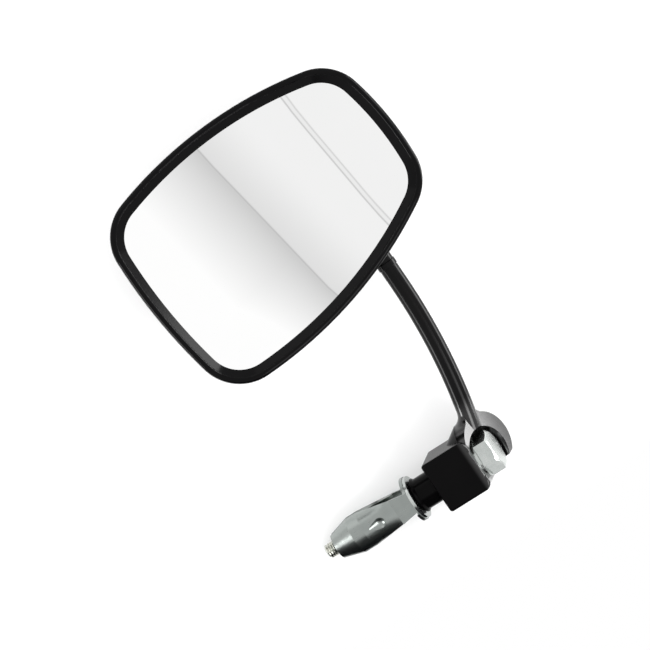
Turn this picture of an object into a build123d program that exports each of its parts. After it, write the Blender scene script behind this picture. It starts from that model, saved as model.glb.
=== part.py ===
"""Motorcycle bar end mirror.

X runs along the handlebar's axis and points out of the bar, Z is up, and the mirror faces the rider at -Y.
The origin is on the bar's axis, in the plane of the bar's end.
"""

import os
from math import asin, cos, radians, sin, sqrt, tan

from build123d import *

# Handlebar that the mirror fits
bar_bore = 16.0

# Expander: one folded sheet with a flange and two leaves
sheet = 1.2
fold_radius = 1.08
crease_radius = 23.25
dent_skin_depth = 1.08
bore_clearance = 0.25
flange_diameter = 19.0
fold_half_gap = 5.9
root_width = 8.8
root_length = 7.0
crease_width = 11.0
swell_start = 21.5
swell_end = 26.5
leaf_length = 35.2
nose_radius = 5.3
leaf_split = 2.4
dent_start = 11.6
dent_length = 10.0
dent_depth = 1.3
dent_radius = 3.0
dent_tip_radius = 1.3

# Clamp bolt, its washers and the wedge nut
bolt_diameter = 6.0
bolt_clearance = 0.3
bolt_tip = 40.2
bolt_core = 5.0
bolt_point = 0.5
bolt_bare_thread = 6.4
hex_flats = 15.0
hex_height = 6.2
hex_chamfer = 0.8
hex_turn = 18.0
washer_diameter = 16.8
washer_thickness = 1.4
seat_washer_diameter = 18.2
seat_washer_thickness = 1.2
nut_length = 6.0
nut_front_radius = 4.6
nut_gap = 0.35
key_width = 1.6
running_gap = 0.05

# Arm: neck, scooped foot and curved stem
neck_diameter = 13.2
neck_collar = 14.6
neck_collar_length = 2.0
neck_length = 10.0
block_depth = 20.0
block_height = 21.6
block_length = 19.9
block_inner_corner = 1.2
block_outer_corner = 3.5
block_edge = 1.0
block_front = 10.2
foot_floor = 19.4
scoop_front = 18.9
scoop_angle = 26.0
open_side_slope = 13.7
scoop_clearance = 1.6
eye_radius = 12.2
eye_setback = 2.4
eye_raise = 3.0
eye_start = 11.0
eye_lead = 6.0
eye_drop = 4.0
foot_edge = 0.8
stem_diameter = 7.3
stem_setback = 3.0
stem_outboard = 31.3
stem_bend_radius = 240.0
stem_straight = 29.3
stem_root_height = 7.0
stem_flare = 5.0
stem_collar = 7.9
stem_collar_edge = 0.24
stem_collar_length = 2.6
stem_collar_drop = 20.2

# Ball joint
ball_diameter = 12.0
ball_height = 104.0
ball_shank = 5.0
ball_neck_length = 9.0
shank_depth = 12.0
cup_wall = 1.2
cup_hole_angle = 18.0
rear_cup_angle = 78.0
front_cup_angle = 48.0
swing = 10.0
swing_clearance = 0.6

# Head: its turn about Z, its lean back and its turn in its own plane
head_yaw = 18.0
head_pitch = 8.0
head_roll = 7.6
head_length = 117.8
head_wide_end = 80.4
head_narrow_end = 58.0
end_rake = 0.052
side_bulge = 9.3
wide_end_bulge = 3.8
narrow_end_bulge = 3.5
head_corner = 19.4
ball_along = 23.7
ball_below = 21.4
ball_behind = 15.0

# Rim, glass, pad and housing
rim_width = 5.4
rim_skirt = 1.6
rim_skirt_depth = 6.4
rim_lip = 2.6
rim_bead = 2.5
rim_step = 0.6
rim_roll = 1.5
rim_inner_roll = 0.54
fit_gap = 0.1
glass_overlap = 1.3
glass_thickness = 2.2
glass_radius = 1200.0
pad_thickness = 1.2
pad_border = 9.0
housing_wall = 2.0
housing_depth = 23.5
housing_straight = 6.0
housing_taper = 24.0
housing_back_edge = 9.0
ledge_width = 2.4
ledge_depth = 1.6
socket_wall = 2.6
spout_wall = 2.0
spout_length = 14.0
opening_length = 25.0
plate_thickness = 1.5
plate_margin = 4.2
screw_circle = 13.5
screw_spread = 62.0
screw_diameter = 3.0
screw_head_diameter = 6.0
screw_head_height = 1.8
screw_head_edge = 0.45
screw_length = 9.0
screw_post_diameter = 7.0

# Places along the bar's axis
seat_washer_x = sheet
neck_x = seat_washer_x + seat_washer_thickness
shoulder_x = neck_x + neck_length
floor_x = shoulder_x + foot_floor
bolt_head_x = floor_x + washer_thickness
leaf_radius = bar_bore / 2 - bore_clearance
hex_corner_radius = hex_flats / 2 / cos(radians(30))
pocket_radius = hex_corner_radius + scoop_clearance
bolt_hole_radius = bolt_diameter / 2 + bolt_clearance
nose_x = -leaf_length

# Ball joint sizes and place
ball_radius = ball_diameter / 2
cup_inner = ball_radius + running_gap
cup_outer = cup_inner + cup_wall
seat_radius = cup_outer + running_gap
stem_x = shoulder_x + stem_outboard
ball = Vector(stem_x, stem_setback, ball_height)
stem_top = ball_height - ball_neck_length
stem_bend_top = ball_height - stem_straight

# Axes of the mirror head: facing is the way the mirror looks
yaw = radians(head_yaw)
pitch = radians(head_pitch)
roll = radians(head_roll)
facing = Vector(sin(yaw) * cos(pitch), -cos(yaw) * cos(pitch), sin(pitch))
level = Vector(cos(yaw), sin(yaw), 0)
upward = facing.cross(level)
long_axis = level * cos(roll) + upward * sin(roll)
short_axis = facing.cross(long_axis)
head_centre = ball + facing * ball_behind - long_axis * ball_along + short_axis * ball_below
head = Plane(origin=head_centre, x_dir=long_axis, z_dir=facing)
socket = Plane(origin=ball, x_dir=long_axis, z_dir=facing)

# Depths behind the rim's front plane
glass_inset = rim_width - glass_overlap
housing_inset = rim_skirt + fit_gap
cavity_inset = housing_inset + housing_wall
back_inside = housing_depth - housing_wall
plate_depth = ball_behind - cup_outer * cos(radians(front_cup_angle)) - plate_thickness / 2
post_depth = plate_depth + plate_thickness
screw_angles = [radians(90 + screw_spread * turn) for turn in (-1, 0, 1)]
screw_spots = [(screw_circle * cos(angle), screw_circle * sin(angle)) for angle in screw_angles]
glass_pole = rim_lip + fit_gap - head_narrow_end**2 / 8 / glass_radius
glass_sag = head_length**2 / 8 / glass_radius
ledge_front = glass_pole + glass_sag + glass_thickness + pad_thickness

os.makedirs("parts", exist_ok=True)


def head_outline(inset):
    """Rounded trapezoid of the head, with bowed sides and raked ends, drawn in from the rim's outer edge."""
    wide_x = -head_length / 2 + wide_end_bulge
    narrow_x = head_length / 2 - narrow_end_bulge
    wide_y = head_wide_end / 2
    narrow_y = head_narrow_end / 2
    wide_top = (wide_x + end_rake * wide_y, wide_y)
    wide_foot = (wide_x - end_rake * wide_y, -wide_y)
    narrow_top = (narrow_x + end_rake * narrow_y, narrow_y)
    narrow_foot = (narrow_x - end_rake * narrow_y, -narrow_y)
    with BuildSketch() as outline:
        with BuildLine():
            SagittaArc(wide_top, wide_foot, -wide_end_bulge)
            SagittaArc(wide_foot, narrow_foot, -side_bulge)
            SagittaArc(narrow_foot, narrow_top, -narrow_end_bulge)
            SagittaArc(narrow_top, wide_top, -side_bulge)
        make_face()
        fillet(outline.vertices(), head_corner)
        if inset > 0:
            offset(amount=-inset, mode=Mode.REPLACE)
    return outline.sketch


def sphere_at(depth, radius):
    """Ball whose front pole lies on the head's axis at a depth behind the rim's front plane."""
    centre = head_centre - facing * (depth + radius)
    return Location(centre) * Sphere(radius, mode=Mode.PRIVATE)


def save(piece, name):
    """Names one finished piece and writes it."""
    piece.label = name
    export_step(piece, f"parts/{name}.step")


def cup_profile(hole_angle, rim_angle, sign):
    """Half section of a spherical cup, from its centre hole to its rim, on the socket's normal."""
    low = radians(hole_angle)
    high = radians(rim_angle)
    mid = (low + high) / 2
    with BuildSketch() as profile:
        with BuildLine():
            ThreePointArc(
                (cup_inner * sin(low), sign * cup_inner * cos(low)),
                (cup_inner * sin(mid), sign * cup_inner * cos(mid)),
                (cup_inner * sin(high), sign * cup_inner * cos(high)),
            )
            Line(
                (cup_inner * sin(high), sign * cup_inner * cos(high)),
                (cup_outer * sin(high), sign * cup_outer * cos(high)),
            )
            ThreePointArc(
                (cup_outer * sin(high), sign * cup_outer * cos(high)),
                (cup_outer * sin(mid), sign * cup_outer * cos(mid)),
                (cup_outer * sin(low), sign * cup_outer * cos(low)),
            )
            Line(
                (cup_outer * sin(low), sign * cup_outer * cos(low)),
                (cup_inner * sin(low), sign * cup_inner * cos(low)),
            )
        make_face()
    return profile.sketch


def leaf_section(x, half_width, crown, radius):
    """Section across one leaf: a curved strip of sheet whose crown stands off the bar's axis."""
    centre = crown - radius
    spread = asin(half_width / radius)

    def spot(angle, distance):
        return (-(centre + distance * cos(angle)), distance * sin(angle))

    inner = radius - sheet
    with BuildSketch(Plane.YZ.offset(x)) as section:
        with BuildLine():
            ThreePointArc(spot(-spread, radius), spot(0, radius), spot(spread, radius))
            Line(spot(spread, radius), spot(spread, inner))
            ThreePointArc(spot(spread, inner), spot(0, inner), spot(-spread, inner))
            Line(spot(-spread, inner), spot(-spread, radius))
        make_face()
    return section.sketch


def leaf_half_width(radius):
    """Half width of a round section that leaves the split between the two leaves open."""
    return sqrt(radius**2 - (leaf_split / 2) ** 2)


def dent_shape(grow):
    """Teardrop that is pressed into a leaf, broad towards the flange, with its skin grown outwards."""
    rise = dent_radius - dent_depth
    broad = dent_start - root_length + dent_radius
    with BuildPart() as teardrop:
        with BuildSketch(leaf_plane):
            with Locations((broad, rise)):
                Circle(dent_radius + grow)
            with Locations((broad + dent_length - dent_radius - dent_tip_radius, rise)):
                Circle(dent_tip_radius + grow)
            make_hull()
            with Locations((broad, rise + 2 * dent_radius)):
                Rectangle(4 * dent_length, 4 * dent_radius, mode=Mode.SUBTRACT)
        revolve(axis=Axis(leaf_plane.from_local_coords(Vector(0, rise, 0)), leaf_plane.x_dir))
    return teardrop.part


# Leaf plane: its X runs along the flared part of the front leaf and its Y points out of the leaf
flare_run = Vector(-(swell_start - root_length), -(leaf_radius - fold_half_gap), 0).normalized()
leaf_plane = Plane(
    origin=(-root_length, -fold_half_gap, 0), x_dir=flare_run, z_dir=(0, 0, 1)
)

# Inner skin of the dent, on the bolt's side of the leaf
with BuildPart() as dent_skin:
    add(dent_shape(sheet))
    split(
        bisect_by=Plane(
            origin=leaf_plane.from_local_coords(Vector(0, -dent_skin_depth, 0)),
            z_dir=leaf_plane.y_dir,
        ),
        keep=Keep.BOTTOM,
    )

# Expander: flange, folded roots, flared leaves, round leaves and closed-in nose
with BuildPart() as expander:
    with BuildSketch(Plane.XZ.offset(fold_half_gap - sheet)):
        with BuildLine():
            Polyline(
                (sheet, -root_width / 2),
                (sheet, root_width / 2),
                (0, root_width / 2),
                (-root_length, crease_width / 2),
                (-root_length, -crease_width / 2),
                (0, -root_width / 2),
                close=True,
            )
        make_face()
    extrude(amount=sheet)
    fold_edge = expander.edges().filter_by(Axis.Z).sort_by(Axis.Y)[0:2].sort_by(Axis.X)[-1]
    fillet(fold_edge, fold_radius)
    crease = leaf_section(-root_length, crease_width / 2, fold_half_gap, crease_radius)
    swell = leaf_section(-swell_start, leaf_half_width(leaf_radius), leaf_radius, leaf_radius)
    tail = leaf_section(-swell_end, leaf_half_width(leaf_radius), leaf_radius, leaf_radius)
    nose = leaf_section(nose_x, leaf_half_width(nose_radius), nose_radius, nose_radius)
    loft([crease, swell])
    loft([swell, tail])
    loft([tail, nose])
    add(dent_skin.part)
    add(dent_shape(0), mode=Mode.SUBTRACT)
    mirror(about=Plane.XZ)
    with BuildSketch(Plane.YZ):
        Circle(flange_diameter / 2)
        with Locations((fold_half_gap + block_depth / 2, 0), (-fold_half_gap - block_depth / 2, 0)):
            Rectangle(block_depth, root_width + sheet, mode=Mode.SUBTRACT)
    extrude(amount=sheet)
    with BuildSketch(Plane.YZ):
        Circle(bolt_hole_radius)
    extrude(amount=sheet, mode=Mode.SUBTRACT)
save(expander.part, "expander")

# Washer between the flange and the neck
with BuildPart() as seat_washer:
    with BuildSketch(Plane.YZ.offset(seat_washer_x)):
        Circle(seat_washer_diameter / 2)
        Circle(bolt_hole_radius, mode=Mode.SUBTRACT)
    extrude(amount=seat_washer_thickness)
save(seat_washer.part, "seat_washer")

# Wedge nut: a cone with two keys that run in the split between the leaves
nut_x = -swell_end
nut_radius = leaf_radius - sheet - nut_gap
with BuildPart() as wedge_nut:
    with BuildSketch(Plane.XY):
        with BuildLine():
            Polyline(
                (nut_x, bolt_diameter / 2 + running_gap),
                (nut_x, nut_radius),
                (nut_x + nut_length, nut_front_radius),
                (nut_x + nut_length, bolt_diameter / 2 + running_gap),
                close=True,
            )
        make_face()
    revolve(axis=Axis.X)
    with BuildSketch(Plane.YZ.offset(nut_x)):
        Rectangle(key_width, 2 * (nut_radius + sheet))
        Circle(bolt_diameter / 2 + running_gap, mode=Mode.SUBTRACT)
    extrude(amount=nut_length / 2)
save(wedge_nut.part, "wedge_nut")

# Clamp bolt with its chamfered hex head
bolt_end_x = bolt_head_x + hex_height
with BuildPart() as clamp_bolt:
    with BuildSketch(Plane.YZ.offset(bolt_head_x)):
        RegularPolygon(hex_flats / 2, 6, major_radius=False, rotation=hex_turn)
    extrude(amount=hex_height)
    with BuildSketch(Plane.XY):
        with BuildLine():
            Polyline(
                (bolt_end_x, hex_flats / 2 - hex_chamfer / 2),
                (bolt_end_x, hex_corner_radius + hex_chamfer),
                (bolt_end_x - 2 * hex_chamfer, hex_corner_radius + hex_chamfer),
                close=True,
            )
        make_face()
    revolve(axis=Axis.X, mode=Mode.SUBTRACT)
    with BuildSketch(Plane.YZ.offset(bolt_head_x)):
        Circle(bolt_diameter / 2)
    extrude(amount=bolt_bare_thread - bolt_tip - bolt_head_x)
    with BuildSketch(Plane.YZ.offset(-bolt_tip)):
        Circle(bolt_core / 2)
    extrude(amount=bolt_bare_thread)
    chamfer(clamp_bolt.faces().sort_by(Axis.X)[0].edges(), bolt_point)
save(clamp_bolt.part, "clamp_bolt")

# Washer under the bolt's head
with BuildPart() as bolt_washer:
    with BuildSketch(Plane.YZ.offset(floor_x)):
        Circle(washer_diameter / 2)
        Circle(bolt_hole_radius, mode=Mode.SUBTRACT)
    extrude(amount=washer_thickness)
save(bolt_washer.part, "bolt_washer")


def stem_point(height):
    """Point of the stem's centre line at a height: a long bend that ends upright."""
    drop = max(stem_bend_top - height, 0)
    along = stem_x - stem_bend_radius + sqrt(stem_bend_radius**2 - drop**2)
    return Vector(along, stem_setback, height)


# Arm: neck, block, round eye and stem in one casting, scooped out round the bolt's head
root_point = stem_point(stem_root_height)
root_lean = asin((stem_bend_top - stem_root_height) / stem_bend_radius)
root_way = Vector(sin(root_lean), 0, cos(root_lean))
scoop_slope = tan(radians(scoop_angle))
scoop_x = shoulder_x + scoop_front
open_slope = tan(radians(open_side_slope))
eye_x = shoulder_x + eye_start
eye_axis = Axis((eye_x, eye_setback, eye_raise), (1, 0, 0))
reach = 2 * eye_radius

# Stem alone, along a bend that ends upright
with BuildPart() as stem:
    with BuildLine():
        ThreePointArc(
            root_point,
            stem_point((stem_root_height + stem_bend_top) / 2),
            stem_point(stem_bend_top),
        )
        Line(stem_point(stem_bend_top), stem_point(stem_top))
    with BuildSketch(Plane(origin=root_point, z_dir=root_way)):
        Circle(stem_diameter / 2)
    sweep()
    with BuildSketch(Plane(origin=(stem_x, stem_setback, ball_height - stem_collar_drop))):
        Circle(stem_collar / 2)
    extrude(amount=-stem_collar_length)
    round_edges = stem.edges().filter_by(GeomType.CIRCLE)
    collar_edges = round_edges.filter_by(lambda edge: abs(edge.radius - stem_collar / 2) < running_gap)
    chamfer(collar_edges, stem_collar_edge)

with BuildPart() as arm:
    with BuildSketch(Plane.XY.offset(eye_raise)):
        with BuildLine():
            Polyline(
                (eye_x, eye_setback),
                (eye_x, eye_setback + eye_radius - eye_drop),
                (eye_x + eye_lead, eye_setback + eye_radius),
                (eye_x + reach, eye_setback + eye_radius),
                (eye_x + reach, eye_setback),
                close=True,
            )
        make_face()
    revolve(axis=eye_axis)
    add(stem.part)
    stem_seam = arm.edges().filter_by(GeomType.CIRCLE, reverse=True).filter_by(GeomType.LINE, reverse=True)
    fillet(stem_seam.sort_by(Axis.Z)[0], stem_flare)
    with BuildSketch(Plane.XY.offset(stem_bend_top / 2)):
        with BuildLine():
            Polyline(
                (scoop_x - reach * scoop_slope, -block_front - reach),
                (scoop_x + 2 * reach * scoop_slope, -block_front + 2 * reach),
                (scoop_x + 4 * reach, -block_front + 2 * reach),
                (scoop_x + 4 * reach, -block_front - reach),
                close=True,
            )
        make_face()
    extrude(amount=-stem_bend_top, mode=Mode.SUBTRACT)
    with BuildSketch(Plane.YZ.offset(floor_x)):
        with BuildLine():
            Polyline(
                (-block_front - reach, -block_height / 2 - reach * open_slope),
                (-block_front + 2 * reach, -block_height / 2 + 2 * reach * open_slope),
                (-block_front + 2 * reach, -2 * reach),
                (-block_front - reach, -2 * reach),
                close=True,
            )
        make_face()
    extrude(amount=2 * reach, mode=Mode.SUBTRACT)
    add(stem.part)
    with BuildSketch(Plane.XZ.offset(block_front)) as pad:
        with Locations((shoulder_x + block_length / 2, 0)):
            Rectangle(block_length, block_height)
        fillet(pad.vertices().group_by(Axis.X)[0], block_inner_corner)
        fillet(pad.vertices().group_by(Axis.X)[-1], block_outer_corner)
    extrude(amount=-block_depth)
    with BuildSketch(Plane.XY):
        with BuildLine():
            Polyline(
                (neck_x, 0),
                (neck_x, neck_collar / 2 - foot_edge),
                (neck_x + foot_edge, neck_collar / 2),
                (neck_x + neck_collar_length - foot_edge, neck_collar / 2),
                (neck_x + neck_collar_length, neck_diameter / 2),
                (shoulder_x + foot_edge, neck_diameter / 2),
                (shoulder_x + foot_edge, 0),
                close=True,
            )
        make_face()
    revolve(axis=Axis.X)
    with BuildSketch(Plane.YZ.offset(floor_x)):
        Circle(pocket_radius)
    extrude(amount=2 * reach, mode=Mode.SUBTRACT)
    with BuildSketch(Plane.YZ.offset(neck_x)):
        Circle(bolt_hole_radius)
    extrude(amount=floor_x - neck_x, mode=Mode.SUBTRACT)
    with BuildSketch(Plane(origin=(stem_x, stem_setback, stem_top))):
        Circle(ball_shank / 2)
    extrude(amount=-shank_depth, mode=Mode.SUBTRACT)
    front_face = arm.faces().filter_by(Axis.Y).sort_by(Axis.Y)[0]
    fillet(front_face.outer_wire().edges(), block_edge)
save(arm.part, "arm")

# Ball stud, pressed into the top of the stem
with BuildPart() as ball_stud:
    with Locations(ball):
        Sphere(ball_radius)
    with BuildSketch(Plane(origin=ball)):
        Circle(ball_shank / 2)
    extrude(amount=-ball_neck_length - shank_depth)
save(ball_stud.part, "ball_stud")

# Friction cups in front of and behind the ball
with BuildPart() as front_cup:
    with BuildSketch(Plane(origin=ball, x_dir=long_axis, z_dir=-short_axis)):
        add(cup_profile(cup_hole_angle, front_cup_angle, 1))
    revolve(axis=Axis(ball, facing))
save(front_cup.part, "front_cup")

with BuildPart() as rear_cup:
    with BuildSketch(Plane(origin=ball, x_dir=long_axis, z_dir=-short_axis)):
        add(cup_profile(cup_hole_angle, rear_cup_angle, -1))
    revolve(axis=Axis(ball, facing))
    with BuildSketch(Plane(origin=ball)):
        Circle(ball_shank / 2 + bolt_clearance)
    extrude(amount=-2 * ball_radius, mode=Mode.SUBTRACT)
save(rear_cup.part, "rear_cup")

# Rim: a skirt round the housing with a rolled bead and a lip that slopes down to the glass
with BuildPart() as rim_trim:
    with BuildSketch(head):
        add(head_outline(0))
    extrude(amount=-rim_skirt_depth)
    with BuildSketch(head):
        add(head_outline(rim_bead))
    extrude(amount=-rim_step, mode=Mode.SUBTRACT)
    bead_face = rim_trim.faces().sort_by(Axis(head_centre, facing))[-1]
    fillet(bead_face.outer_wire().edges(), rim_roll)
    bead_face = rim_trim.faces().filter_by(Axis(head_centre, facing)).sort_by(Axis(head_centre, facing))[-1]
    fillet(bead_face.inner_wires()[0].edges(), rim_inner_roll)
    with BuildSketch(head.offset(-rim_lip)):
        add(head_outline(rim_skirt))
    extrude(amount=-rim_skirt_depth, mode=Mode.SUBTRACT)
    with BuildSketch(head.offset(-rim_step)):
        add(head_outline(rim_bead + fit_gap))
    with BuildSketch(head.offset(-rim_lip)):
        add(head_outline(rim_width))
    loft(ruled=True, mode=Mode.SUBTRACT)
save(rim_trim.part, "rim_trim")

# Convex mirror glass of even thickness
with BuildPart() as mirror_glass:
    with BuildSketch(head):
        add(head_outline(glass_inset))
    extrude(amount=-housing_depth)
    add(sphere_at(glass_pole, glass_radius), mode=Mode.INTERSECT)
    add(sphere_at(glass_pole + glass_thickness, glass_radius - glass_thickness), mode=Mode.SUBTRACT)
save(mirror_glass.part, "mirror_glass")

# Foam pad: a frame between the back of the glass and the housing's ledge
with BuildPart() as glass_pad:
    with BuildSketch(head):
        add(head_outline(cavity_inset + fit_gap))
        add(head_outline(cavity_inset + pad_border), mode=Mode.SUBTRACT)
    extrude(amount=-ledge_front)
    add(
        sphere_at(glass_pole + glass_thickness, glass_radius - glass_thickness), mode=Mode.INTERSECT
    )
save(glass_pad.part, "glass_pad")


def shell_body(inset, front, depth, back_edge):
    """Tapered body of the housing, from a front depth to a back depth behind the rim's front plane."""
    taper_start = rim_lip + housing_straight
    with BuildPart() as body:
        with BuildSketch(head.offset(-front)):
            add(head_outline(inset))
        extrude(amount=front - taper_start)
        with BuildSketch(head.offset(-taper_start)):
            add(head_outline(inset))
        extrude(amount=taper_start - depth, taper=housing_taper)
        back = body.faces().sort_by(Axis(head_centre, facing))[0]
        fillet(back.edges(), back_edge)
    return body.part


# Housing: rear shell with its ledge, socket, posts and the spout that the stem comes through
opening_root = stem_diameter / 2 + swing_clearance
opening_slope = tan(radians(swing) * sqrt(2))
opening_mouth = opening_root + opening_length * opening_slope
spout_mouth = opening_root + spout_length * opening_slope + spout_wall
with BuildPart() as housing:
    add(shell_body(housing_inset, rim_lip, housing_depth, housing_back_edge))
    with Locations(ball - Vector(0, 0, spout_length / 2)):
        Cone(spout_mouth, seat_radius + socket_wall, spout_length)
    add(
        shell_body(cavity_inset, -rim_lip, back_inside, housing_back_edge - housing_wall),
        mode=Mode.SUBTRACT,
    )
    with BuildSketch(head.offset(-ledge_front)):
        add(head_outline(cavity_inset - fit_gap))
        add(head_outline(cavity_inset + ledge_width), mode=Mode.SUBTRACT)
    extrude(amount=-ledge_depth)
    with BuildSketch(socket):
        Circle(seat_radius + socket_wall)
    extrude(amount=ball_behind - back_inside - housing_wall / 2)
    with BuildSketch(socket.offset(ball_behind - post_depth)):
        with Locations(*screw_spots):
            Circle(screw_post_diameter / 2)
    extrude(amount=post_depth - back_inside - housing_wall / 2)
    with BuildSketch(socket.offset(ball_behind - post_depth)):
        with Locations(*screw_spots):
            Circle(screw_diameter / 2)
    extrude(amount=-screw_length, mode=Mode.SUBTRACT)
    with Locations(ball):
        Sphere(seat_radius, mode=Mode.SUBTRACT)
    with Locations(ball - Vector(0, 0, opening_length / 2)):
        Cone(opening_mouth, opening_root, opening_length, mode=Mode.SUBTRACT)
save(housing.part, "housing")

# Clamp plate that presses the front cup on the ball
with BuildPart() as clamp_plate:
    with BuildSketch(socket.offset(ball_behind - plate_depth)):
        with Locations(*screw_spots):
            Circle(plate_margin)
        Circle(seat_radius + plate_margin / 2)
        make_hull()
        with Locations(*screw_spots):
            Circle(screw_diameter / 2 + fit_gap, mode=Mode.SUBTRACT)
    extrude(amount=-plate_thickness)
    with Locations(ball):
        Sphere(seat_radius, mode=Mode.SUBTRACT)
save(clamp_plate.part, "clamp_plate")

# Screws of the clamp plate
with BuildPart() as clamp_screws:
    with BuildSketch(socket.offset(ball_behind - plate_depth)):
        with Locations(*screw_spots):
            Circle(screw_head_diameter / 2)
    extrude(amount=screw_head_height)
    head_edges = clamp_screws.faces().sort_by(Axis(ball, facing))[-3:].edges()
    chamfer(head_edges, screw_head_edge)
    with BuildSketch(socket.offset(ball_behind - plate_depth)):
        with Locations(*screw_spots):
            Circle(screw_diameter / 2)
    extrude(amount=-plate_thickness - screw_length)
save(clamp_screws.part, "clamp_screws")
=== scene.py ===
from math import cos, pi, radians, sin

import bpy
from mathutils import Matrix, Vector


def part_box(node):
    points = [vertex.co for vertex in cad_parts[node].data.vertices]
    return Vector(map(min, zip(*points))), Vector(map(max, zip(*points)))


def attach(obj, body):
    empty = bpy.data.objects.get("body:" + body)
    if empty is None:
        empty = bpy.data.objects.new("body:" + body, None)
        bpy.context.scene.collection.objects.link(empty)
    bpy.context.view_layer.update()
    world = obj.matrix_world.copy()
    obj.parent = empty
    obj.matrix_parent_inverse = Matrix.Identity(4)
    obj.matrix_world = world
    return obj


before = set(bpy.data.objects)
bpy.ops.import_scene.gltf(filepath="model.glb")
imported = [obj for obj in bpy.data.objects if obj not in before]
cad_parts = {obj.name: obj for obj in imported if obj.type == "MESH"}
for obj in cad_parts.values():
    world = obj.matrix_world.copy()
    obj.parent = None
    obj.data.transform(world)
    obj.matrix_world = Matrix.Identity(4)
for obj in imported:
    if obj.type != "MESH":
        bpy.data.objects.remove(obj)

bl_info = {
    "name": "Bar end mirror looks",
    "version": (1, 0, 0),
    "blender": (4, 5, 0),
    "location": "View3D > Sidebar > Bar end mirror",
    "description": "Finishes, the bolt's thread and a photo stage for the bar end mirror",
    "category": "Object",
}

# The bolt's free end along the bar, in metres
BOLT_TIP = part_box("clamp_bolt")[0][0]

# Sockets of a Mix node that is set to colours
MIX_FIRST = 6
MIX_SECOND = 7
MIX_RESULT = 2

WHITE = (1.0, 1.0, 1.0, 1.0)
BLACK = (0.0, 0.0, 0.0, 1.0)

# Each lamp's name, its place to the right, up and back from the target, its width and its power,
# in metres and watts
LAMPS = (
    ("key", (0.6, 0.76, 0.22), 0.3, 3.5),
    ("left", (-0.8, -0.56, 0.2), 0.3, 4.0),
    ("right", (0.856, 0.37, -0.147), 0.5, 9.0),
    ("low_right", (0.72, -0.45, 1.0), 0.6, 6.0),
    ("high_left", (-0.84, 0.74, 0.4), 0.9, 1.5),
    ("rim", (0.74, 0.57, 0.5), 0.35, 2.0),
)


class Field:
    """A shader value that can be added, multiplied and shaped with plain operators."""

    def __init__(self, tree, socket=None):
        self.tree = tree
        self.socket = socket

    def add_node(self, kind, inputs, **settings):
        """Adds one node, sets its properties and feeds its inputs with fields or constants."""
        node = self.tree.nodes.new(kind)
        for key, value in settings.items():
            setattr(node, key, value)
        for key, value in inputs.items():
            if isinstance(value, Field):
                self.tree.links.new(value.socket, node.inputs[key])
            else:
                node.inputs[key].default_value = value
        return node

    def make(self, kind, inputs, output=0, **settings):
        """Adds one node and gives one of its outputs."""
        return Field(self.tree, self.add_node(kind, inputs, **settings).outputs[output])

    def math(self, operation, first, second=0.0):
        return self.make("ShaderNodeMath", {0: first, 1: second}, operation=operation)

    def __add__(self, other):
        return self.math("ADD", self, other)

    def __radd__(self, other):
        return self.math("ADD", other, self)

    def __sub__(self, other):
        return self.math("SUBTRACT", self, other)

    def __rsub__(self, other):
        return self.math("SUBTRACT", other, self)

    def __mul__(self, other):
        return self.math("MULTIPLY", self, other)

    def __rmul__(self, other):
        return self.math("MULTIPLY", other, self)

    def __truediv__(self, other):
        return self.math("DIVIDE", self, other)

    def __rtruediv__(self, other):
        return self.math("DIVIDE", other, self)

    def __pow__(self, other):
        return self.math("POWER", self, other)

    def __rpow__(self, other):
        return self.math("POWER", other, self)

    def __neg__(self):
        return self.math("MULTIPLY", self, -1.0)

    def __abs__(self):
        return self.math("ABSOLUTE", self)

    def least(self, other):
        return self.math("MINIMUM", self, other)

    def most(self, other):
        return self.math("MAXIMUM", self, other)

    def step(self, low, high):
        """Smooth rise from 0 at low to 1 at high."""
        return self.make(
            "ShaderNodeMapRange",
            {"Value": self, "From Min": low, "From Max": high},
            interpolation_type="SMOOTHSTEP",
        )

    def between(self, low, high):
        """Straight rise from low at 0 to high at 1."""
        return self * (high - low) + low

    def colours(self, first, second):
        """Mixes two colours by this value."""
        return self.make(
            "ShaderNodeMix",
            {"Factor": self, MIX_FIRST: (*first, 1.0), MIX_SECOND: (*second, 1.0)},
            MIX_RESULT,
            data_type="RGBA",
        )


class Finish:
    """One material with its coordinates at hand."""

    def __init__(self, name):
        self.material = bpy.data.materials.new(name)
        self.material.use_nodes = True
        self.tree = self.material.node_tree
        self.tree.nodes.clear()
        self.seed = Field(self.tree)
        self.place = self.seed.make("ShaderNodeTexCoord", {}, "Object")

    def axes(self):
        """The place's X, Y and Z in metres."""
        node = self.seed.add_node("ShaderNodeSeparateXYZ", {"Vector": self.place})
        return [Field(self.tree, socket) for socket in node.outputs]

    def stretched(self, x, y, z):
        """The place with each axis scaled, for brushed grain."""
        return self.seed.make("ShaderNodeVectorMath", {0: self.place, 1: (x, y, z)}, operation="MULTIPLY")

    def noise(self, scale, detail=3.0, place=None):
        """Cloudy noise from 0 to 1."""
        return self.seed.make(
            "ShaderNodeTexNoise",
            {"Vector": place or self.place, "Scale": scale, "Detail": detail, "Roughness": 0.55},
        )

    def bump(self, height, strength, distance=0.0002):
        """Grain as deep as the distance, in metres."""
        return self.seed.make(
            "ShaderNodeBump",
            {"Height": height, "Strength": strength, "Distance": distance},
        )

    def surface(self, **inputs):
        """Principled surface with fields or constants on its sockets."""
        sockets = {key.replace("_", " "): value for key, value in inputs.items()}
        shader = self.seed.make("ShaderNodeBsdfPrincipled", sockets)
        self.seed.add_node("ShaderNodeOutputMaterial", {"Surface": shader})
        return self.material


def cloudy(name, dark, light, scale, smooth, dull, **sockets):
    """A material whose colour and roughness drift in soft clouds."""
    finish = Finish(name)
    cloud = finish.noise(scale)
    return finish.surface(
        Base_Color=cloud.colours(dark, light),
        Roughness=cloud.between(smooth, dull),
        **sockets,
    )


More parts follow.
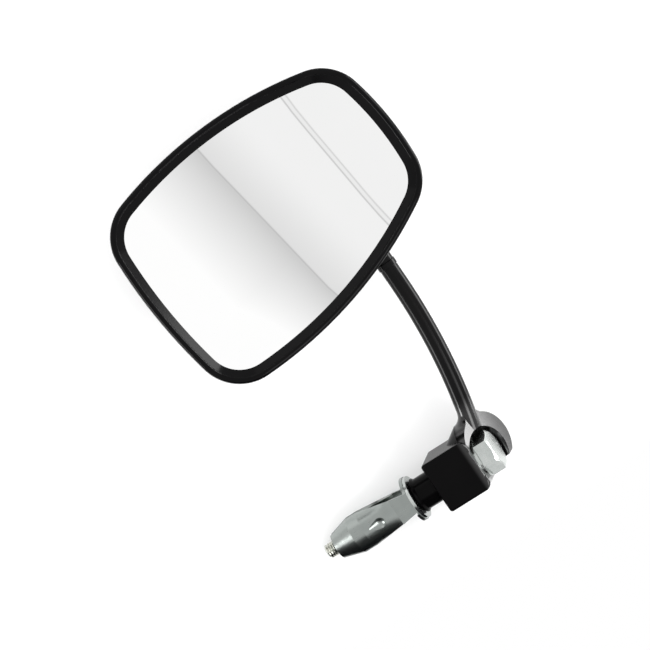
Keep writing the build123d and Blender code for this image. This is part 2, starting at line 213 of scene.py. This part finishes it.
def dress(node_name, material):
    """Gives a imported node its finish."""
    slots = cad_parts[node_name].material_slots
    for slot in slots:
        slot.material = material


def colour_setting(name, description, shade):
    """A colour that a user can change."""
    return bpy.props.FloatVectorProperty(name=name, description=description, default=shade, subtype="COLOR")


def length_setting(name, description, metres):
    """A length that a user can change."""
    return bpy.props.FloatProperty(name=name, description=description, default=metres, unit="LENGTH")


def angle_setting(name, description, degrees):
    """An angle that a user can change, given here in degrees."""
    return bpy.props.FloatProperty(
        name=name,
        description=description,
        default=radians(degrees),
        subtype="ANGLE",
    )


def number_setting(name, description, value):
    """A plain number that a user can change."""
    return bpy.props.FloatProperty(name=name, description=description, default=value)


def count_setting(name, description, count):
    """A whole number that a user can change."""
    return bpy.props.IntProperty(name=name, description=description, default=count)


def place_setting(name, description, place):
    """A place that a user can change."""
    return bpy.props.FloatVectorProperty(
        name=name,
        description=description,
        default=place,
        subtype="TRANSLATION",
    )


def pair_setting(name, description, first, last, unit="LENGTH"):
    """A pair of values that a user can change."""
    return bpy.props.FloatVectorProperty(
        name=name,
        description=description,
        size=2,
        default=(first, last),
        unit=unit,
    )


class BarMirrorThread(bpy.types.PropertyGroup):
    """Sizes of the thread on the bolt's free end."""

    pitch: length_setting("Pitch", "From one crest to the next", 0.001)
    core: length_setting("Core radius", "Radius at the thread's root", 0.00248)
    crest: length_setting("Crest radius", "Radius at the thread's crest", 0.003)
    start: length_setting("Start", "First turn's place along the bar", BOLT_TIP + 0.0008)
    turns: count_setting("Turns", "Turns of the thread", 5)
    steps: count_setting("Steps", "Flat steps in each turn", 48)
    half_width: number_setting("Half width", "Half the ridge's width as a share of the pitch", 0.47)
    half_height: number_setting("Half height", "Half the ridge's height as a share of its depth", 0.55)
    smooth: angle_setting("Smooth angle", "Edges flatter than this are shaded smooth", 35)


class BarMirrorColours(bpy.types.PropertyGroup):
    """Colours of the finishes."""

    paint: colour_setting("Paint", "Black paint of the arm", (0.0009, 0.0009, 0.001))
    paint_haze: colour_setting("Paint haze", "Paler clouds in the paint", (0.0022, 0.002, 0.0021))
    plastic: colour_setting("Plastic", "Black plastic of the head", (0.0014, 0.0014, 0.0016))
    plastic_haze: colour_setting("Plastic haze", "Paler clouds in the plastic", (0.003, 0.0028, 0.003))
    zinc: colour_setting("Zinc", "Zinc of the bolt and washers", (0.60, 0.62, 0.605))
    zinc_dark: colour_setting("Zinc shade", "Darker clouds in the zinc", (0.42, 0.45, 0.435))
    sheet: colour_setting("Sheet", "Zinc of the expander", (0.35, 0.372, 0.355))
    sheet_dark: colour_setting("Sheet shade", "Darker clouds on the expander", (0.235, 0.257, 0.25))
    passivated: colour_setting("Passivated", "Yellowish zinc of the thread", (0.62, 0.60, 0.50))
    silver: colour_setting("Silver", "Silver of the glass", (0.93, 0.93, 0.928))
    silver_haze: colour_setting("Silver haze", "Duller clouds in the silver", (0.90, 0.90, 0.898))
    nylon: colour_setting("Nylon", "Nylon of the cups", (0.72, 0.70, 0.64))
    nylon_dark: colour_setting("Nylon shade", "Darker clouds in the nylon", (0.60, 0.58, 0.52))
    foam: colour_setting("Foam", "Foam of the pad", (0.02, 0.02, 0.02))
    foam_pale: colour_setting("Foam cells", "Paler cells of the foam", (0.035, 0.035, 0.035))


class BarMirrorCoat(bpy.types.PropertyGroup):
    """Clear coat on the arm's eye and stem."""

    foot: pair_setting("Foot", "Places along the bar where the coat starts and is full", 0.029, 0.031)
    stem: pair_setting("Stem", "Heights where the coat starts to thin and is thinnest", 0.016, 0.024)
    weights: pair_setting("Weights", "Coat on the eye and on the stem", 1.0, 0.14, unit="NONE")


class BarMirrorView(bpy.types.PropertyGroup):
    """Camera of the photo, and the table, the black card and the light round it."""

    azimuth: angle_setting("Azimuth", "Camera's turn about the vertical", 15)
    elevation: angle_setting("Elevation", "Camera's angle above level", 8)
    roll: angle_setting("Roll", "Camera's turn about the way it looks", 34.49)
    distance: length_setting("Distance", "From the target to the camera", 3.0)
    lens: number_setting("Lens", "Focal length in millimetres", 431.4)
    target: place_setting("Target", "Place that the camera looks at", (0.0104, 0.00094, 0.07576))
    table_back: length_setting("Table back", "From the target back to the table", 0.027)
    table_size: length_setting("Table size", "Width of the table's sheet", 0.8)
    table_edge: pair_setting("Table edge", "Radii where the table starts to clear and is clear", 0.15, 0.2)
    table_low: pair_setting("Table low", "Depths below the target where it does so too", 0.097, 0.11)
    # The black card is a dark sheet seen only in reflections: a painted dark reflection on the expander.
    flag_place: place_setting("Flag", "Black card's place from the target", (-0.005, -0.175, 0.07))
    flag_way: pair_setting("Flag way", "Black card's way to the right and up", 0.29, -0.957, unit="NONE")
    flag_lean: angle_setting("Flag lean", "Black card's lean towards the camera", 53.13)
    flag_size: pair_setting("Flag size", "Black card's width and length", 0.17, 0.24)
    fill: number_setting("Fill light", "Strength of the surroundings' light on matt faces", 1.12)


class BarMirrorBoards(bpy.types.PropertyGroup):
    """Ceiling boards that the glass reflects: glowing sheets with painted shade in their tone, which make a
    painted reflection.
    """

    glass_yaw: angle_setting("Glass yaw", "Way that the glass faces, about the vertical", 18)
    glass_pitch: angle_setting("Glass pitch", "Way that the glass faces, above level", 8)
    away: length_setting("Away", "From the glass to the boards", 1.6)
    size: length_setting("Size", "Width of the boards", 0.64)
    turn: angle_setting("Turn", "Turn that sets the seam along the boards' own Y", 136.2)
    seam_place: length_setting("Seam", "Seam's place across the boards", 0.0052)
    seam_soft: length_setting("Seam softness", "Half the width over which the tone changes", 0.004)
    seam_dark: number_setting("Seam line", "Darkness of the seam's line", 0.2)
    line: pair_setting("Line", "From a line's middle: where it starts to fade and is gone", 0.0005, 0.002)
    gap_place: length_setting("Gap", "Gap's place across the boards", -0.143)
    gap_width: length_setting("Gap width", "From one edge of the gap to the other", 0.008)
    gap_slant: number_setting("Gap slant", "Gap's shift across for each metre along", 0.061)
    gap_soft: length_setting("Gap softness", "Half the width over which the gap starts", 0.001)
    gap_dark: number_setting("Gap inside", "Darkness inside the gap", 0.05)
    edges_dark: pair_setting("Gap edges", "Darkness of the gap's two edges", 0.3, 0.22, unit="NONE")
    # Painted shade: tones of the boards' glow by the seam and far from it.
    painted_shade: pair_setting("Shaded board", "Tones at the seam and far from it", 0.56, 1.0, unit="NONE")
    shade_reach: length_setting("Shade reach", "From the seam's side to the full tone", 0.135)
    shade_power: number_setting("Shade power", "Below 1, the tone rises soonest at the seam", 0.75)
    shorter_from: length_setting("Shorter from", "Place along the seam past which the reach shrinks", -0.04)
    shorter: number_setting("Shorter", "How fast the reach shrinks past that place", 4.0)
    plain: pair_setting("Plain board", "Tones of the seam's other side", 0.74, 0.89, unit="NONE")
    plain_rise: pair_setting("Plain rise", "Distances from the middle where they are reached", -0.02, 0.09)
    glow: number_setting("Glow", "Strength of the boards' glow", 1.08)


class MIRROR_OT_paint_arm(bpy.types.Operator):
    """Paints the arm gloss black"""

    bl_idname = "bar_mirror.paint_arm"
    bl_label = "Paint the arm"

    def execute(self, context):
        colours = context.scene.bar_mirror_colours
        coat = context.scene.bar_mirror_coat
        finish = Finish("arm_paint")
        haze = finish.noise(scale=60.0)
        grain = finish.noise(scale=900.0, detail=2.0)
        outboard, _, height = finish.axes()
        gloss = height.step(*coat.stem).between(*coat.weights)
        dress(
            "arm",
            finish.surface(
                Base_Color=haze.colours(colours.paint, colours.paint_haze),
                Roughness=haze.between(0.16, 0.26),
                Specular_IOR_Level=0.05,
                Coat_Weight=outboard.step(*coat.foot) * gloss,
                Coat_Roughness=0.16,
                Normal=finish.bump(grain, strength=0.05),
            ),
        )
        return {"FINISHED"}


class MIRROR_OT_mould_head(bpy.types.Operator):
    """Gives the rim and the housing their black plastic"""

    bl_idname = "bar_mirror.mould_head"
    bl_label = "Mould the head"

    def execute(self, context):
        colours = context.scene.bar_mirror_colours
        for node, smooth, dull, peel in (("rim_trim", 0.12, 0.20, 0.03), ("housing", 0.28, 0.40, 0.12)):
            finish = Finish(node + "_plastic")
            haze = finish.noise(scale=45.0)
            grain = finish.noise(scale=1200.0, detail=2.0)
            dress(
                node,
                finish.surface(
                    Base_Color=haze.colours(colours.plastic, colours.plastic_haze),
                    Roughness=haze.between(smooth, dull),
                    Specular_IOR_Level=0.08,
                    Normal=finish.bump(grain, strength=peel),
                ),
            )
        return {"FINISHED"}


class MIRROR_OT_silver_glass(bpy.types.Operator):
    """Silvers the convex glass"""

    bl_idname = "bar_mirror.silver_glass"
    bl_label = "Silver the glass"

    def execute(self, context):
        colours = context.scene.bar_mirror_colours
        finish = Finish("glass_silver")
        haze = finish.noise(scale=25.0)
        speck = finish.noise(scale=2500.0, detail=2.0)
        dress(
            "mirror_glass",
            finish.surface(
                Base_Color=haze.colours(colours.silver, colours.silver_haze),
                Metallic=1.0,
                Roughness=speck.between(0.004, 0.016),
            ),
        )
        return {"FINISHED"}


class MIRROR_OT_plate_metal(bpy.types.Operator):
    """Gives the bolt, washers, nut and expander their zinc"""

    bl_idname = "bar_mirror.plate_metal"
    bl_label = "Plate the metal"

    def execute(self, context):
        colours = context.scene.bar_mirror_colours
        for node in ("clamp_bolt", "bolt_washer", "seat_washer", "wedge_nut"):
            finish = Finish(node + "_zinc")
            cloud = finish.noise(scale=320.0)
            grain = finish.noise(scale=1.0, detail=4.0, place=finish.stretched(400.0, 2400.0, 2400.0))
            dress(
                node,
                finish.surface(
                    Base_Color=cloud.colours(colours.zinc_dark, colours.zinc),
                    Metallic=1.0,
                    Roughness=cloud.between(0.16, 0.32),
                    Normal=finish.bump(grain, strength=0.12),
                ),
            )
        finish = Finish("expander_zinc")
        cloud = finish.noise(scale=140.0)
        grain = finish.noise(scale=1.0, detail=4.0, place=finish.stretched(260.0, 2600.0, 2600.0))
        dress(
            "expander",
            finish.surface(
                Base_Color=(cloud * 0.7 + grain * 0.3).colours(colours.sheet_dark, colours.sheet),
                Metallic=1.0,
                Roughness=grain.between(0.22, 0.38),
                Normal=finish.bump(grain, strength=0.1),
            ),
        )
        return {"FINISHED"}


class MIRROR_OT_cut_thread(bpy.types.Operator):
    """Winds the thread on the bolt's free end"""

    bl_idname = "bar_mirror.cut_thread"
    bl_label = "Cut the thread"

    def execute(self, context):
        sizes = context.scene.bar_mirror_thread
        colours = context.scene.bar_mirror_colours
        bpy.ops.object.select_all(action="DESELECT")
        bpy.ops.mesh.primitive_circle_add(
            vertices=4,
            radius=1.0,
            fill_type="NOTHING",
            location=(sizes.start, 0, (sizes.core + sizes.crest) / 2),
            rotation=(pi / 2, 0, 0),
        )
        thread = context.object
        thread.name = "bolt_thread"
        width = sizes.pitch * sizes.half_width
        height = (sizes.crest - sizes.core) * sizes.half_height
        bpy.ops.transform.resize(value=(width, 1.0, height))
        bpy.ops.object.transform_apply(location=True, rotation=True, scale=True)
        winding = thread.modifiers.new("Winding", "SCREW")
        winding.axis = "X"
        winding.screw_offset = sizes.pitch
        winding.iterations = sizes.turns
        winding.steps = sizes.steps
        winding.render_steps = sizes.steps
        winding.use_merge_vertices = False
        bpy.ops.object.modifier_apply(modifier=winding.name)
        bpy.ops.object.mode_set(mode="EDIT")
        bpy.ops.mesh.select_all(action="SELECT")
        bpy.ops.mesh.fill_holes(sides=4)
        bpy.ops.mesh.select_all(action="SELECT")
        bpy.ops.mesh.normals_make_consistent(inside=False)
        bpy.ops.object.mode_set(mode="OBJECT")
        bpy.ops.object.shade_smooth_by_angle(angle=sizes.smooth)
        zinc = cloudy(
            "thread_zinc",
            colours.zinc_dark,
            colours.passivated,
            scale=500.0,
            smooth=0.2,
            dull=0.34,
            Metallic=1.0,
        )
        thread.data.materials.append(zinc)
        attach(thread, "clamp_bolt")
        return {"FINISHED"}


class MIRROR_OT_finish_joint(bpy.types.Operator):
    """Gives the ball, cups, plate, screws and pad their finishes"""

    bl_idname = "bar_mirror.finish_joint"
    bl_label = "Finish the ball joint"

    def execute(self, context):
        colours = context.scene.bar_mirror_colours
        for node in ("ball_stud", "clamp_plate", "clamp_screws"):
            steel = cloudy(
                node + "_steel",
                colours.zinc_dark,
                colours.zinc,
                scale=250.0,
                smooth=0.2,
                dull=0.35,
                Metallic=1.0,
            )
            dress(node, steel)
        for node in ("rear_cup", "front_cup"):
            nylon = cloudy(
                node + "_nylon",
                colours.nylon_dark,
                colours.nylon,
                scale=300.0,
                smooth=0.4,
                dull=0.55,
            )
            dress(node, nylon)
        finish = Finish("pad_foam")
        cells = finish.noise(scale=1800.0)
        dress(
            "glass_pad",
            finish.surface(
                Base_Color=cells.colours(colours.foam, colours.foam_pale),
                Roughness=cells.between(0.8, 0.95),
                Normal=finish.bump(cells, strength=0.4, distance=0.0003),
            ),
        )
        return {"FINISHED"}


def view_axes(view):
    """Right, up and backward directions of the photo's camera."""
    azimuth, elevation, roll = view.azimuth, view.elevation, view.roll
    back = Vector((sin(azimuth) * cos(elevation), -cos(azimuth) * cos(elevation), sin(elevation)))
    level = Vector((cos(azimuth), sin(azimuth), 0))
    upright = back.cross(level)
    right = level * cos(roll) - upright * sin(roll)
    up = level * sin(roll) + upright * cos(roll)
    return right, up, back


def standing(right, up, back, place):
    """Turns local X, Y and Z to right, up and back, at a place."""
    turn = Matrix((right, up, back)).transposed().to_4x4()
    return Matrix.Translation(place) @ turn


def boards_matrix(boards, right, back):
    """Stands the boards where the glass reflects the camera's view, with the seam along their own Y."""
    yaw, pitch = boards.glass_yaw, boards.glass_pitch
    facing = Vector((sin(yaw) * cos(pitch), -cos(yaw) * cos(pitch), sin(pitch)))
    seen = facing * (2 * facing.dot(back)) - back
    level = (right - seen * right.dot(seen)).normalized()
    upright = level.cross(seen)
    across = level * cos(boards.turn) + upright * sin(boards.turn)
    low, high = (Vector(corner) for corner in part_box("mirror_glass"))
    return standing(across, across.cross(seen), -seen, (low + high) / 2 + seen * boards.away)


def flag_matrix(view, right, up, back, place):
    """Stands the black card at a place, leaning towards the camera."""
    away = (right * view.flag_way[0] + up * view.flag_way[1]).normalized()
    across = back.cross(away)
    lean = away * cos(view.flag_lean) + back * sin(view.flag_lean)
    return standing(across, lean, across.cross(lean), place) @ Matrix.Diagonal((*view.flag_size, 1.0, 1.0))


def flat_sheet(name, size, matrix):
    """A square stage sheet that faces its local Z."""
    bpy.ops.object.select_all(action="DESELECT")
    bpy.ops.mesh.primitive_plane_add(size=size)
    sheet = bpy.context.object
    sheet.name = name
    sheet.matrix_world = matrix
    return sheet


def cover(sheet, finish, **sockets):
    """Gives a stage sheet a finish with no shine."""
    sheet.data.materials.append(finish.surface(Roughness=1.0, Specular_IOR_Level=0.0, **sockets))


def soft_box(name, place, target, size, power):
    """A square area light that looks at the target and isn't seen itself."""
    data = bpy.data.lights.new(name, "AREA")
    data.shape = "SQUARE"
    data.size = size
    data.energy = power
    lamp = bpy.data.objects.new(name, data)
    bpy.context.scene.collection.objects.link(lamp)
    lamp.location = place
    lamp.rotation_euler = (place - target).to_track_quat("Z", "Y").to_euler()
    lamp.visible_camera = False


class MIRROR_OT_set_stage(bpy.types.Operator):
    """Sets the camera, table, boards, black card, lamps and white surroundings"""

    bl_idname = "bar_mirror.set_stage"
    bl_label = "Set the stage"

    def execute(self, context):
        scene = context.scene
        view = scene.bar_mirror_view
        boards = scene.bar_mirror_boards
        right, up, back = view_axes(view)
        target = Vector(view.target)

        def from_target(x, y, z):
            return target + right * x + up * y + back * z

        self.camera(scene, view, standing(right, up, back, from_target(0, 0, view.distance)))
        table_place = standing(right, up, back, from_target(0, 0, -view.table_back))
        self.table(flat_sheet("table", view.table_size, table_place), view)
        self.boards(flat_sheet("boards", boards.size, boards_matrix(boards, right, back)), boards)
        flag_place = flag_matrix(view, right, up, back, from_target(*view.flag_place))
        self.flag(flat_sheet("flag", 1.0, flag_place))
        for name, place, size, power in LAMPS:
            soft_box(name, from_target(*place), target, size, power)
        self.surroundings(scene, view)
        scene.view_settings.view_transform = "Standard"
        return {"FINISHED"}

    def camera(self, scene, view, matrix):
        """The photo's camera."""
        data = bpy.data.cameras.new("photo_camera")
        data.sensor_width = 36.0
        data.lens = view.lens
        data.clip_start = 0.01
        data.clip_end = 20.0
        camera = bpy.data.objects.new("photo_camera", data)
        scene.collection.objects.link(camera)
        camera.matrix_world = matrix
        scene.camera = camera

    def table(self, sheet, view):
        """White table that keeps the soft shadows, clear from behind and where the head swings down."""
        finish = Finish("table_white")
        x, y, _ = finish.axes()
        radius = (x * x + y * y) ** 0.5
        below = x * sin(view.roll) - y * cos(view.roll)
        paper = finish.noise(scale=12.0)
        behind = finish.seed.make("ShaderNodeNewGeometry", {}, "Backfacing")
        clear = behind.most(radius.step(*view.table_edge)).most(below.step(*view.table_low))
        cover(
            sheet,
            finish,
            Base_Color=paper.colours((0.93, 0.93, 0.93), (0.95, 0.95, 0.95)),
            Alpha=1.0 - clear,
        )

    def boards(self, sheet, boards):
        """Pale ceiling boards behind the camera, with a seam and a gap, that only reflections see; they
        glow though they are no lamp and carry painted shade in their tone, so the glass shows a painted
        reflection.
        """
        finish = Finish("boards_painted_reflection")
        x, y, _ = finish.axes()
        # Painted shade: the glow is darkest by the seam and rises away from it, and the seam's other side
        # is darker too.
        faster = 1.0 + (boards.shorter_from - y).most(0.0) * boards.shorter
        painted_shade = (x.most(0.0) * faster / boards.shade_reach) ** boards.shade_power
        painted_shade = painted_shade.least(1.0).between(*boards.painted_shade)
        plain = (-x).step(*boards.plain_rise).between(*boards.plain)
        lit = x.step(boards.seam_place - boards.seam_soft, boards.seam_place + boards.seam_soft)
        tone = lit * painted_shade + (1.0 - lit) * plain
        slanted = x + y * boards.gap_slant - boards.gap_place
        half = boards.gap_width / 2
        # Painted shade: dark lines at the seam and at the gap's two edges.
        for line, dark in (
            (x - boards.seam_place, boards.seam_dark),
            (slanted - half, boards.edges_dark[0]),
            (slanted + half, boards.edges_dark[1]),
        ):
            tone = tone * (1.0 - (1.0 - abs(line).step(*boards.line)) * dark)
        # Painted shade: the gap is darker inside.
        outside = abs(slanted).step(half - boards.gap_soft, half + boards.gap_soft)
        tone = tone * (1.0 - (1.0 - outside) * boards.gap_dark)
        grey = finish.seed.make("ShaderNodeCombineColor", {"Red": tone, "Green": tone, "Blue": tone})
        # The boards glow though they are no lamp; the glass shows this glow as a painted reflection.
        cover(sheet, finish, Base_Color=BLACK, Emission_Color=grey, Emission_Strength=boards.glow)
        sheet.visible_camera = False
        sheet.visible_shadow = False

    def flag(self, sheet):
        """Black card below the expander that only reflections see: a dark sheet that paints a dark
        reflection into the expander and the parts near it.
        """
        finish = Finish("flag_painted_dark_reflection")
        cloth = finish.noise(scale=30.0)
        cover(sheet, finish, Base_Color=cloth.colours((0.002, 0.002, 0.003), (0.004, 0.004, 0.006)))
        sheet.visible_camera = False
        sheet.visible_diffuse = False
        sheet.visible_shadow = False

    def surroundings(self, scene, view):
        """White to the camera, in metal and through glass, with the fill light on matt faces."""
        world = bpy.data.worlds.new("surroundings")
        scene.world = world
        world.use_nodes = True
        tree = world.node_tree
        tree.nodes.clear()
        seed = Field(tree)
        camera, glossy, through = (
            seed.make("ShaderNodeLightPath", {}, ray)
            for ray in ("Is Camera Ray", "Is Glossy Ray", "Is Transmission Ray")
        )
        white, fill = (
            seed.make("ShaderNodeBackground", {"Color": WHITE, "Strength": strength})
            for strength in (1.0, view.fill)
        )
        seen = camera.most(glossy).most(through)
        light = seed.make("ShaderNodeMixShader", {0: seen, 1: fill, 2: white})
        seed.add_node("ShaderNodeOutputWorld", {"Surface": light})


class MIRROR_PT_steps(bpy.types.Panel):
    """Lists the steps that make the looks"""

    bl_label = "Bar end mirror"
    bl_idname = "MIRROR_PT_steps"
    bl_space_type = "VIEW_3D"
    bl_region_type = "UI"
    bl_category = "Bar end mirror"

    def draw(self, context):
        for step in STEPS:
            self.layout.operator(step.bl_idname)


STEPS = (
    MIRROR_OT_paint_arm,
    MIRROR_OT_mould_head,
    MIRROR_OT_silver_glass,
    MIRROR_OT_plate_metal,
    MIRROR_OT_cut_thread,
    MIRROR_OT_finish_joint,
    MIRROR_OT_set_stage,
)
GROUPS = (
    ("bar_mirror_thread", BarMirrorThread),
    ("bar_mirror_colours", BarMirrorColours),
    ("bar_mirror_coat", BarMirrorCoat),
    ("bar_mirror_view", BarMirrorView),
    ("bar_mirror_boards", BarMirrorBoards),
)


def register():
    for name, group in GROUPS:
        bpy.utils.register_class(group)
        setattr(bpy.types.Scene, name, bpy.props.PointerProperty(type=group))
    for step in STEPS:
        bpy.utils.register_class(step)
    bpy.utils.register_class(MIRROR_PT_steps)


def unregister():
    bpy.utils.unregister_class(MIRROR_PT_steps)
    for step in reversed(STEPS):
        bpy.utils.unregister_class(step)
    for name, group in reversed(GROUPS):
        delattr(bpy.types.Scene, name)
        bpy.utils.unregister_class(group)


def main():
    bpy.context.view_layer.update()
    register()
    bpy.ops.bar_mirror.paint_arm()
    bpy.ops.bar_mirror.mould_head()
    bpy.ops.bar_mirror.silver_glass()
    bpy.ops.bar_mirror.plate_metal()
    bpy.ops.bar_mirror.cut_thread()
    bpy.ops.bar_mirror.finish_joint()
    bpy.ops.bar_mirror.set_stage()


if __name__ == "__main__":
    main()
